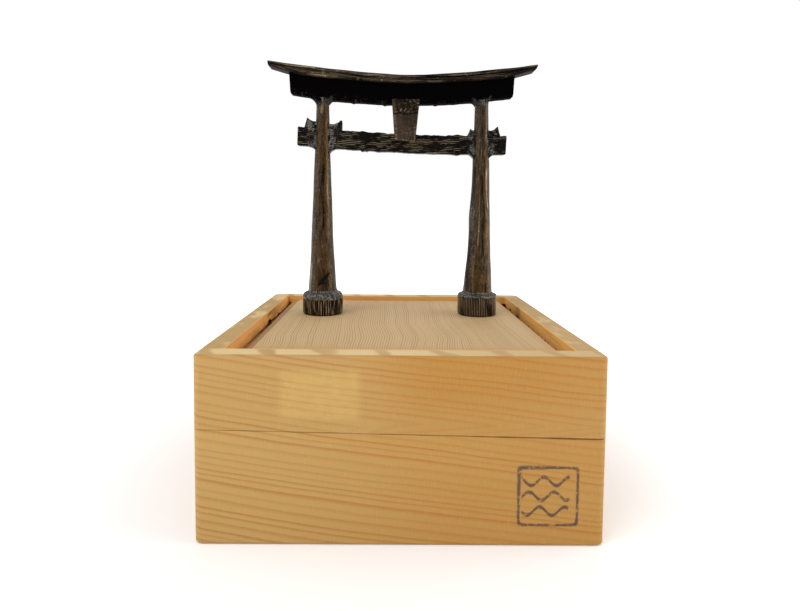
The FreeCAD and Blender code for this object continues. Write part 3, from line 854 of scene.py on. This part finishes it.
def make_pillar(side, looks, material):
    """Tapered pillar: the CAD radius over height, bent by a half sine wave, with low swells.

    Every streak is a bell curve in the angle round the pillar, faded at its ends and swayed by noise;
    dark ones lie a little deeper, and light ones stand partly for painted highlights.
    """
    node = side + "_pillar"
    lean = math.tan(looks.right_lean) if side == "right" else 0.0
    heights, radii = pillar_line(node, lean)
    low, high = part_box(node)
    height = np.linspace(low.z + 0.4 * MM, high.z, PILLAR_RINGS)[:, None]
    up = (height - low.z) / (high.z - low.z)
    turn = np.linspace(0.0, 2 * math.pi, PILLAR_POINTS, endpoint=False)[None, :]
    round_x, round_y = np.cos(turn), np.sin(turn)
    seed, left_grey, right_grey = GREY_SIDES[side]
    radius = np.interp(height, heights, radii)
    swell = ripples(seed, round_x * 0.7, round_y * 0.7, up * 9.0)
    fine = ripples(seed + 1, round_x * 3.5, round_y * 3.5, up * 24.0)
    tone = 0.12 * fine + 0.1 * swell
    round_angle = np.degrees(np.arctan2(round_x, -round_y))
    for index, (foot, top, width, start, stop, strength) in enumerate(STREAKS[side]):
        wander = ripples(seed + 10 + index, up * 9.0) * width * 0.7
        away = (round_angle - (foot + (top - foot) * up) - wander + 180) % 360 - 180
        spread = width * (0.8 + 0.35 * ripples(seed + 30 + index, up * 12.0))
        fade = smooth(up, start - 0.02, start + 0.02) * (1 - smooth(up, stop - 0.02, stop + 0.02))
        tone = tone + strength * np.exp(-(away / spread) ** 2) * fade
    shore = 8 * ripples(seed + 2, up * 8.0)
    # Painted reflection: the grey left and right sides stand for the bright room mirrored in the bronze;
    # they ride on the solder attribute, and only the band near the top is solder.
    solder = left_grey * smooth(shore - round_angle, 24, 44)
    solder = solder + right_grey * smooth(round_angle + shore, 46, 66)
    solder = solder + hump(up, 0.995, 0.03) * 0.5 + 0.05 * swell
    # Painted shade: the pillar darkens towards its left and right flanks.
    tone = tone - smooth(abs(round_angle), 62, 85) * 0.35
    relief = looks.hammer * swell + 0.03 * MM * fine + 0.05 * MM * np.clip(tone, -1, 1)
    flare = 0.35 * MM * np.exp((up - 1) / 0.02)
    radius = radius + relief + flare
    bend = getattr(looks, side + "_bend") * np.sin(math.pi * up)
    centre = PILLARS[side] + lean * (height - low.z) + bend
    rings = np.stack([centre + radius * round_x, GATE_Y + radius * round_y, height + 0 * turn], axis=-1)
    skin(side + "_pillar_turned", rings, {"tone": tone, "solder": solder}, material, node)


def fillet(x, side, reach, drop):
    """How far solder fills the corner under a beam beside a pillar: drop at it, falling off as a parabola.

    reach and drop are in millimetres.
    """
    away = np.abs(x - NECKS[side]) - 2.4 * MM
    return drop * MM * np.clip(1 - away / (reach * MM), 0, 1) ** 2


def make_tie_beam(looks, material):
    """Tie beam: lengthwise ridges on both faces, broken into dashes, lumps above and drips below."""
    node = "nuki_tie_beam"
    top_line, low_line = both_edges(node)
    part, inset = stations(top_line[0][0], top_line[0][-1], BEAM_RINGS, looks.end_roll * 0.7)
    low_x, top_x = along_line(low_line, part), along_line(top_line, part)
    lumps = ((23.5, 1.6, 0.55), (20.6, 0.8, 0.3), (-15.0, 0.9, 0.35), (-9.0, 1.2, 0.2))
    top_z = np.interp(top_x, *top_line) + ripples(70, part * 60.0) * 0.1 * MM + swells(top_x, lumps)
    drips = ((-15.0, 0.7, 0.5), (-13.4, 0.4, 0.35), (-2.0, 0.5, 0.2), (24.0, 0.8, 0.25))
    low_z = np.interp(low_x, *low_line) - ripples(71, part * 55.0) * 0.1 * MM - swells(low_x, drips)
    low_z = low_z - fillet(low_x, "left", 3.4, 2.3) - fillet(low_x, "right", 3.2, 2.6)
    outline, up, flat = rounded_outline(58, 14, 4)
    x = top_x[:, None] / MM
    wander = ripples(72, x / 14.0, up * 1.2) * 0.28 + ripples(73, x / 4.0, up * 3.0) * 0.08
    wave = (0.5 + 0.5 * np.cos(2 * math.pi * (up * looks.ridges + wander + 0.3))) ** 1.6
    dash = smooth(ripples(74, x / 3.2, up * 6.0) + ripples(75, x / 1.1, up * 12.0) * 0.45, -1.7, 0.5)
    ridge = wave * dash
    joint = sum(1 - smooth(np.abs(x - neck / MM) - 3.2, 0.4, 5.2) for neck in NECKS.values())
    puddle = np.clip(joint + 0.45 * joint * ripples(76, x / 1.6, up * 3.5), 0, 1.4)
    bead = ripples(77, x / 0.9, up * 6.0)
    raised = looks.ridge_depth * (ridge - 0.55) * (1 - 0.6 * joint)
    relief = flat * (raised + 0.1 * MM * puddle * (0.6 + bead)) + (1 - flat) * 0.05 * MM * bead
    tone = flat * (ridge * 2.5 - 1.15) * (1 - 0.5 * joint) + (1 - flat) * 0.3 * bead
    ends = smooth(np.abs(part - 0.5), 0.485, 0.5)[:, None]
    rings = bar_rings(node, (low_x, low_z), (top_x, top_z), (0.5 * MM, 0.45 * MM), inset, outline, relief)
    skin("nuki_ridged", rings, {"tone": tone - ends * 0.3, "solder": puddle * (0.5 + 0.3 * bead)}, material,
         node)


def make_under_beam(looks, material):
    """Beam under the cap: black and smooth, its lower corners rounded, solder at the pillars."""
    node = "shimaki_beam"
    top_line, low_line = both_edges(node)
    left_end, right_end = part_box(node)[0].x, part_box(node)[1].x
    slant = 0.5 * MM
    roll = 0.5 * MM
    part, inset = stations(left_end, right_end, 260, looks.end_roll / 2, 8)
    low_x = left_end + slant + (right_end - left_end - 2 * slant) * part
    top_x = left_end + (right_end - left_end) * part
    near = np.minimum(np.minimum(low_x - low_x[0], low_x[-1] - low_x), roll)
    corner = roll - np.sqrt(np.maximum(roll ** 2 - (roll - near) ** 2, 0))
    drips = ((-19.0, 0.6, 0.35), (-6.0, 0.5, 0.35), (15.0, 0.7, 0.3), (-27.0, 0.9, 0.2))
    low_z = np.interp(low_x, *low_line) + corner + ripples(81, part * 40.0) * 0.06 * MM
    low_z = low_z - swells(low_x, drips)
    for side, before, after in (("left", (3.6, 3.4), (1.6, 1.6)), ("right", (2.0, 1.9), (0.8, 1.0))):
        filled = np.where(low_x < NECKS[side], fillet(low_x, side, *before), fillet(low_x, side, *after))
        low_z = low_z - filled
    top_z = np.interp(top_x, *top_line) + 0.3 * MM
    outline, up, _ = rounded_outline(40, 16, 5)
    x = top_x[:, None] / MM
    lumps = ripples(82, x / 3.0, up * 2.5) * 0.5 + ripples(83, x / 1.0, up * 8.0) * 0.5
    low_part = 1 - smooth(up, 0.08, 0.2 + 0.4 * smooth(-x, -10, 30))
    worn = low_part * smooth(ripples(84, x / 0.4, up * 20.0), -0.4, 1.8)
    worn = worn * (0.35 + 0.35 * smooth(-x, -20, 25))
    tone = worn + (1 - smooth(up, 0.0, 0.08)) * 0.15 * (0.5 + lumps)
    joint = sum(1 - smooth(np.abs(x - neck / MM) - 3.0, 0.0, 2.6) for neck in NECKS.values())
    grey = joint * (1 - smooth(up, 0.05, 0.3)) * 0.35
    rings = bar_rings(node, (low_x, low_z), (top_x, top_z), (0.8 * MM, 0.3 * MM), inset, outline,
                      0.06 * MM * lumps)
    skin("shimaki_black", rings, {"tone": tone, "solder": grey}, material, node)


def make_cap(looks, material):
    """Cap: ridges and one deep groove along both faces, tips cut slanting and rounded below."""
    node = "kasagi_cap"
    top_line, low_line = both_edges(node)
    left_end, right_end = top_line[0][0] - 0.15 * MM, top_line[0][-1] + 0.25 * MM
    low_start = left_end + 0.35 * MM
    part, inset = stations(left_end, right_end, BEAM_RINGS, 0.4 * MM, 8)
    low_x = low_start + (low_line[0][-1] - low_start) * part
    top_x = left_end + (right_end - left_end) * part
    low_z = np.interp(low_x, *low_line)
    top_z = np.interp(top_x, *top_line) + ripples(91, part * 30.0) * 0.05 * MM
    outline, up, flat = rounded_outline(54, 18, 5)
    x = top_x[:, None] / MM
    high = up + ripples(92, x / 16.0, up * 0.6) * 0.035
    deep = 0.45 + 0.55 * smooth(x, -12, 22) + 0.2 * ripples(93, x / 3.0)
    groove = hump(high, 0.58, 0.06) * deep
    groove = groove + hump(high, 0.30, 0.04) * smooth(ripples(94, x / 5.0), -0.4, 0.8) * 0.8
    groove = groove + hump(high, 0.75, 0.03) * smooth(ripples(97, x / 4.0), -0.2, 0.9) * 0.6
    # The light ridge lines are raised; the one along the lower edge also stands for a highlight there:
    # painted highlight.
    ridge = hump(high, 0.88, 0.1) + 0.7 * hump(high, 0.45, 0.06) + 0.8 * hump(high, 0.13, 0.08)
    strands = ripples(95, x / 5.0, up * 20.0)
    nicks = smooth(ripples(96, x / 0.8, up * 9.0), 1.1, 1.7)
    lump = hump(x, -31.0, 0.45) * hump(up, 0.45, 0.4)
    relief = flat * (looks.groove_depth * (0.3 * ridge - groove) + 0.05 * MM * strands + 0.2 * MM * lump)
    relief = relief + (1 - flat) * 0.05 * MM * strands
    above = smooth(up, 0.4, 0.6)
    tone = 0.6 * ridge - 1.7 * groove + 0.7 * strands - 0.3 + 0.9 * lump + nicks - 0.35 * smooth(x, 5, 30)
    tone = flat * tone
    # Painted light: on the top and bottom faces the top is lighter and the underside darker.
    tone = tone + (1 - flat) * ((0.3 + 0.4 * strands) * above - 0.7 * (1 - above))
    rings = bar_rings(node, (low_x, low_z), (top_x, top_z), (0.9 * MM, 0.45 * MM), inset, outline, relief)
    skin("kasagi_ridged", rings, {"tone": tone, "solder": 0.0}, material, node)


def make_wedge(name, material):
    """Horned wedge: from the pillar a level saddle, a hollow rise to the horn and a steep outer face."""
    places, heights = edge_line(name, 1, steep=0.2)
    low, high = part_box(name)
    pillar = PILLARS["left" if name.startswith("left") else "right"]
    outwards = 1 if (low.x + high.x) / 2 > pillar else -1
    start = low.x - 1.2 * MM if outwards > 0 else low.x
    stop = high.x if outwards > 0 else high.x + 1.2 * MM
    part, inset = stations(start, stop, 44, 0.35 * MM)
    x = start + (stop - start) * part
    top = np.interp(x, places, heights)
    horn = places[np.argmax(heights)]
    away = np.abs(x - pillar) / abs(horn - pillar)
    top = top - 0.35 * MM * hump(away, 0.82, 0.1) + 0.1 * MM * ripples(len(name), part * 9.0)
    base = np.full_like(x, low.z - 0.6 * MM)
    top = np.maximum(top, base + 1.6 * MM)
    outline, up, _ = rounded_outline(16, 12, 4)
    bead = ripples(100 + len(name), x[:, None] / (0.8 * MM), up * 5.0, outline[0][:, 0])
    rings = bar_rings(name, (x, base), (x, top), (0.4 * MM, 0.4 * MM), inset, outline, 0.1 * MM * bead)
    skin(name + "_horned", rings, {"tone": 0.5 * bead - 0.2, "solder": 0.34 + 0.4 * np.clip(bead, 0, 1)},
         material, name)


def make_tablet(looks, material):
    """Name tablet: a tapered plate, rough above, a dark groove across it, three short slanting scratches."""
    node = "name_tablet"
    low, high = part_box(node)
    left_line = edge_line(node, -1, along=2, across=0)
    right_line = edge_line(node, 1, along=2, across=0)
    part, inset = stations(low.z, high.z, 130, 0.5 * MM)
    left_z, right_z = along_line(left_line, part), along_line(right_line, part)
    left_x, right_x = np.interp(left_z, *left_line), np.interp(right_z, *right_line)
    outline, across, flat = rounded_outline(96, 14, 4)
    shown = np.where(outline[0][:, 0] < 0, flat, 0)
    up = part[:, None]
    rough = ripples(110, up * 26.0, across * 12.0)
    weave = ripples(111, up * 9.0, across * 22.0)
    top = smooth(up, 0.66, 0.74)
    line = looks.groove_share + 0.012 * ripples(112, across * 4.0)
    groove = hump(up, line, 0.016) * (0.75 + 0.25 * weave)
    scratch = 0.0
    for place in (0.30, 0.47, 0.66):
        slant = across - place - (up - 0.73) * 1.1
        scratch = scratch + hump(slant, 0.0, 0.025) * smooth(up, 0.685, 0.70) * (1 - smooth(up, 0.765, 0.78))
    left_strip = 1 - smooth(across, 0.05, 0.13)
    right_strip = smooth(across, 0.9, 0.96) * (1 - smooth(up, 0.25, 0.4))
    foot = 1 - smooth(up + 0.05 * across, 0.04, 0.1)
    flecks = top * smooth(ripples(113, up * 40.0, across * 26.0), 0.7, 1.4) * smooth(across, 0.35, 0.8)
    raised = 0.16 * scratch + top * 0.12 * rough + 0.03 * weave + 0.1 * flecks
    relief = shown * (MM * raised - looks.groove_depth * groove)
    tone = shown * (-1.2 * groove + 1.2 * scratch - 0.5 * top + 0.25 * rough + 1.3 * flecks
                    + 0.5 * left_strip + 0.45 * right_strip + 0.55 * foot)
    rings = bar_rings(node, (left_z, left_x), (right_z, right_x), (0.5 * MM, 0.5 * MM), inset, outline,
                      relief)[:, :, [2, 1, 0]]
    skin("tablet_cast", rings, {"tone": tone, "solder": 0.0}, material, node)


def make_ledge(looks, material):
    """Strip along the left wall: torn fibres at the wall, a crevice with painted dark shade, and a level
    ledge under the board.

    Every section is a closed line of ten points; the torn edge's height wanders with noise in Y, with a
    notch in the middle and a step behind it.
    """
    wall = -INNER_X
    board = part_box("lid_board")[0].x
    y = np.linspace(-INNER_Y + 0.05 * MM, INNER_Y - 0.05 * MM, 420)
    along = y / MM
    ragged = ripples(120, along / 8.0) * 0.35 + ripples(121, along / 2.0) * 0.3 * smooth(along, -30, 0)
    notch = hump(along, 8.0, 2.6) + 0.5 * hump(along, 26.0, 2.0)
    torn = RIM - looks.torn_drop + looks.torn_play * (ragged + 0.9 * notch - 0.8 * smooth(-along, 8, 40))
    thick = looks.proud * (0.8 + 0.3 * ripples(122, along / 3.0))
    ledge = RIM - looks.drop + 0.08 * MM * ripples(123, along / 6.0)
    skin_top = RIM - 2.2 * MM + 0.4 * MM * ripples(124, along / 7.0)
    inner = wall + 0 * y
    gap = inner + 0.04 * MM
    under = board + 3.0 * MM + 0 * y
    section = [(inner, skin_top), (inner + thick * 0.5, (skin_top + torn) / 2), (inner + thick, torn),
               (inner + thick * 0.9, torn - 0.12 * MM), (gap, torn - 0.4 * MM), (gap, ledge),
               (inner + (board - wall) * 0.5 + 0.5 * MM, ledge + 0.05 * MM), (under, ledge - 0.2 * MM),
               (under, ledge - 2.2 * MM), (inner, ledge - 2.2 * MM)]
    rings = np.stack([np.stack([px, y, pz], axis=-1) for px, pz in section], axis=1)
    # Painted shade: the crevice and the notch go dark, fading towards the front.
    deep = np.array([0, 0, 0, 0.35, 0.8, 0.6, 0, 0.2, 1, 1])[None, :]
    open_part = np.array([0, 0.2, 0.6, 1, 1, 1, 0.8, 0.3, 0, 0])[None, :]
    crevice = np.clip(deep * smooth(along, -15, 8)[:, None] + open_part * notch[:, None], 0, 1)
    fresh = np.array([1, 1, 1, 0.7, 0, 0, 0, 0, 0, 0])[None, :] + 0 * along[:, None]
    mesh = skin("left_ledge_torn", rings, {"crevice": crevice, "torn": fresh}, material, None,
                "lid")
    mesh.polygons.foreach_set("use_smooth", np.zeros(len(mesh.polygons), bool))


# ---------------------------------------------------------------- stage
def pale_floor(looks):
    """Plain pale floor, level with the box's underside."""
    half = looks.floor_size / 2
    corners = [(-half, -half, 0), (half, -half, 0), (half, half, 0), (-half, half, 0)]
    mesh = bpy.data.meshes.new("floor")
    mesh.from_pydata(corners, [], [(0, 1, 2, 3)])
    nodes = Nodes(bpy.data.materials.new("floor_paper"))
    place = nodes.millimetres()
    x, y, _ = nodes.split(place)
    tooth = nodes.noise(place, 0.8, 3.0)
    away = (x * x + y * y) ** 0.5
    glow = (away.rise(50.0, 300.0) * 0.8 + 0.2) * looks.glow
    tone = nodes.mix(tooth * 0.04, looks.floor, (0.5, 0.5, 0.5, 1))
    more = {"Emission Color": nodes.vector(glow, glow, glow), "Emission Strength": 1.0}
    mesh.materials.append(nodes.surface(tone, 0.9, 0.1, more=more))
    show("floor", mesh)


def soft_light(name, place, target, size, power):
    """Square soft light that faces a target."""
    light = bpy.data.lights.new(name, "AREA")
    light.shape = "SQUARE"
    light.size = size
    light.energy = power
    lamp = show(name, light)
    direction = np.array(target) - np.array(place)
    yaw = math.atan2(direction[1], direction[0]) - math.pi / 2
    tilt = math.pi / 2 + math.atan2(direction[2], math.hypot(direction[0], direction[1]))
    lamp.matrix_world = (Matrix.Translation(place) @ Matrix.Rotation(yaw, 4, "Z")
                         @ Matrix.Rotation(tilt, 4, "X"))
    lamp.visible_camera = False


def studio_sky():
    """White to the camera; for light, bright at the sides and above, dimmer towards front and back."""
    world = bpy.data.worlds.new("studio")
    bpy.context.scene.world = world
    nodes = Nodes(world)
    x, _, z = nodes.split(nodes.add("ShaderNodeTexCoord", output="Generated"))
    glow = (x * x) * 0.72 + z.rise(0.0, 1.0) * 0.32 + 0.13
    seen = nodes.add("ShaderNodeLightPath", output="Is Camera Ray")
    level = glow + seen * (1.0 - glow)
    shade = nodes.vector(level, level, level)
    background = nodes.add("ShaderNodeBackground", sockets={"Color": shade, "Strength": 1.0})
    nodes.add("ShaderNodeOutputWorld", sockets={"Surface": background})


def studio_camera(looks):
    """Camera at the viewing angle: yaw about Z, pitch about X, then roll about its own axis."""
    data = bpy.data.cameras.new("camera")
    data.lens = looks.lens
    data.sensor_width = 36.0
    data.shift_x = 0.00934
    data.shift_y = -0.07499
    data.clip_start = 0.01
    data.clip_end = 20.0
    camera = show("camera", data)
    camera.matrix_world = (Matrix.Translation(looks.camera_place) @ Matrix.Rotation(-looks.yaw, 4, "Z")
                           @ Matrix.Rotation(math.pi / 2 - looks.pitch, 4, "X")
                           @ Matrix.Rotation(looks.roll, 4, "Z"))
    bpy.context.scene.camera = camera


def dress(material, *nodes):
    """Gives CAD nodes one material."""
    for node in nodes:
        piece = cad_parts[node]
        piece.data.materials.clear()
        piece.data.materials.append(material)


# ---------------------------------------------------------------- operators
class TORII_OT_stage(bpy.types.Operator):
    """Make the floor, the lights, the sky and the camera"""
    bl_idname = "torii.stage"
    bl_label = "Stage"

    def execute(self, context):
        looks = context.scene.torii_stage
        context.scene.view_settings.view_transform = "Standard"
        middle = (0.0, 0.0, 0.08)
        pale_floor(looks)
        studio_sky()
        studio_camera(looks)
        soft_light("key", (-0.32, -0.34, 0.55), middle, 0.45, 2.0)
        soft_light("side", (0.62, -0.05, 0.30), middle, 0.5, 1.7)
        soft_light("rear", (0.1, 0.55, 0.5), middle, 0.5, 0.9)
        return {"FINISHED"}


class TORII_OT_walls(bpy.types.Operator):
    """Give the walls, the floor and the strips of the box their pine"""
    bl_idname = "torii.walls"
    bl_label = "Box walls"

    def execute(self, context):
        looks = context.scene.torii_wood
        for prefix, lid in (("box", False), ("lid", True)):
            dress(wall_wood(prefix + "_front_pine", True, lid, True, looks), prefix + "_front_wall")
            dress(wall_wood(prefix + "_back_pine", True, lid, False, looks), prefix + "_back_wall")
            dress(wall_wood(prefix + "_side_pine", False, lid, False, looks), prefix + "_left_wall",
                  prefix + "_right_wall")
        dress(plain_pine("inside_pine", looks), "box_floor", "box_lip_front", "box_lip_back", "box_lip_left",
              "box_lip_right")
        return {"FINISHED"}


class TORII_OT_board(bpy.types.Operator):
    """Give the board its wood, and make the torn ledge beside it"""
    bl_idname = "torii.board"
    bl_label = "Board and ledge"

    def execute(self, context):
        wood = context.scene.torii_wood
        dress(board_wood(wood), "lid_board")
        make_ledge(context.scene.torii_ledge, torn_wood(wood))
        return {"FINISHED"}


class TORII_OT_collars(bpy.types.Operator):
    """Make the ribbed collars"""
    bl_idname = "torii.collars"
    bl_label = "Collars"

    def execute(self, context):
        looks = context.scene.torii_bronze
        material = bronze("collar_patina", looks.beam, looks.tablet, looks, (1.0, 1.0, 0.4), rubbed=1.0,
                          speck=0.9, patchy=0.5)
        for side in ("left", "right"):
            make_collar(side, context.scene.torii_collars, material)
        return {"FINISHED"}


class TORII_OT_pillars(bpy.types.Operator):
    """Make the tapered pillars"""
    bl_idname = "torii.pillars"
    bl_label = "Pillars"

    def execute(self, context):
        looks = context.scene.torii_bronze
        material = bronze("pillar_patina", looks.brown, looks.olive, looks, (1.0, 1.0, 0.14), metallic=0.8,
                          roughness=0.32, rubbed=0.85, speck=0.7, patchy=1.1)
        for side in ("left", "right"):
            make_pillar(side, context.scene.torii_pillars, material)
        return {"FINISHED"}


class TORII_OT_beams(bpy.types.Operator):
    """Make the tie beam, the beam under the cap and the cap"""
    bl_idname = "torii.beams"
    bl_label = "Beams and cap"

    def execute(self, context):
        looks = context.scene.torii_bronze
        sizes = context.scene.torii_beams
        tie = bronze("tie_patina", looks.beam, looks.dark, looks, (0.3, 1.0, 1.0), rubbed=0.66)
        make_tie_beam(sizes, tie)
        make_under_beam(sizes, soot("soot_patina", looks))
        cap = bronze("cap_patina", looks.cap, looks.olive, looks, (0.2, 1.0, 1.0), rubbed=0.7, patchy=1.3)
        make_cap(sizes, cap)
        return {"FINISHED"}


class TORII_OT_wedges(bpy.types.Operator):
    """Make the horned wedges beside the pillars"""
    bl_idname = "torii.wedges"
    bl_label = "Wedges"

    def execute(self, context):
        looks = context.scene.torii_bronze
        material = bronze("wedge_patina", looks.beam, looks.dark, looks, rubbed=0.7)
        for side in ("left", "right"):
            for place in ("outer", "inner"):
                make_wedge(side + "_" + place + "_wedge", material)
        return {"FINISHED"}


class TORII_OT_tablet(bpy.types.Operator):
    """Make the name tablet"""
    bl_idname = "torii.tablet"
    bl_label = "Tablet"

    def execute(self, context):
        looks = context.scene.torii_bronze
        material = bronze("tablet_patina", looks.tablet, looks.cap, looks, (0.7, 1.0, 1.0), rubbed=0.65,
                          patchy=0.6)
        make_tablet(context.scene.torii_tablet, material)
        return {"FINISHED"}


OPERATORS = (TORII_OT_stage, TORII_OT_walls, TORII_OT_board, TORII_OT_collars, TORII_OT_pillars,
             TORII_OT_beams, TORII_OT_wedges, TORII_OT_tablet)


class TORII_PT_panel(bpy.types.Panel):
    """Lists every step, with the sizes and colours that it reads."""
    bl_idname = "TORII_PT_panel"
    bl_label = "Torii gate"
    bl_space_type = "VIEW_3D"
    bl_region_type = "UI"
    bl_category = "Torii"

    def draw(self, context):
        for operator in OPERATORS:
            self.layout.operator(operator.bl_idname)
        for group, kind in GROUPS.items():
            box = self.layout.box()
            box.label(text=kind.__doc__)
            for key in kind.__annotations__:
                box.prop(getattr(context.scene, group), key)


def register():
    for group, kind in GROUPS.items():
        bpy.utils.register_class(kind)
        setattr(bpy.types.Scene, group, bpy.props.PointerProperty(type=kind))
    for kind in (*OPERATORS, TORII_PT_panel):
        bpy.utils.register_class(kind)


def unregister():
    for kind in (TORII_PT_panel, *reversed(OPERATORS)):
        bpy.utils.unregister_class(kind)
    for group, kind in reversed(GROUPS.items()):
        delattr(bpy.types.Scene, group)
        bpy.utils.unregister_class(kind)


def main():
    """Runs every step in order."""
    register()
    for operator in OPERATORS:
        step = operator.bl_idname.split(".")[1]
        getattr(bpy.ops.torii, step)()


if __name__ == "__main__":
    main()
